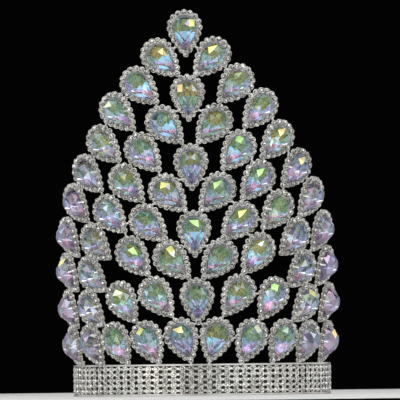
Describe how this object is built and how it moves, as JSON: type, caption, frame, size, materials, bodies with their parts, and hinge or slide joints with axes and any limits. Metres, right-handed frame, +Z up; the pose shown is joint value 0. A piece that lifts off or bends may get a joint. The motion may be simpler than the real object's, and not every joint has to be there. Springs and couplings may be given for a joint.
{
  "type": "pageant crown",
  "caption": "Tall full-round pageant crown: five nested chevrons of pear crystals in haloed settings on a woven rhinestone band.",
  "frame": {"origin": "centre of the band's bottom edge circle, on the surface the crown stands on", "axes": "+Z up, -Y to the front of the crown where its body rises, +X to the wearer's left"},
  "size_m": [0.1886, 0.2033, 0.2545],
  "materials": {
    "plated_silver": "bright silver-coloured plating, soldered joints",
    "clear_rhinestone": "clear foil-backed round stones in silver-coloured cups",
    "aurora_crystal": "faceted foil-backed crystal with an iridescent coating"
  },
  "bodies": {
    "root": {"crown_frame": "plated_silver", "rhinestone_band": "clear_rhinestone", "pear_crystals_1": "aurora_crystal", "pear_crystals_2": "aurora_crystal", "pear_crystals_3": "aurora_crystal", "pear_crystals_4": "aurora_crystal", "pear_crystals_5": "aurora_crystal"}
  },
  "joints": []
}
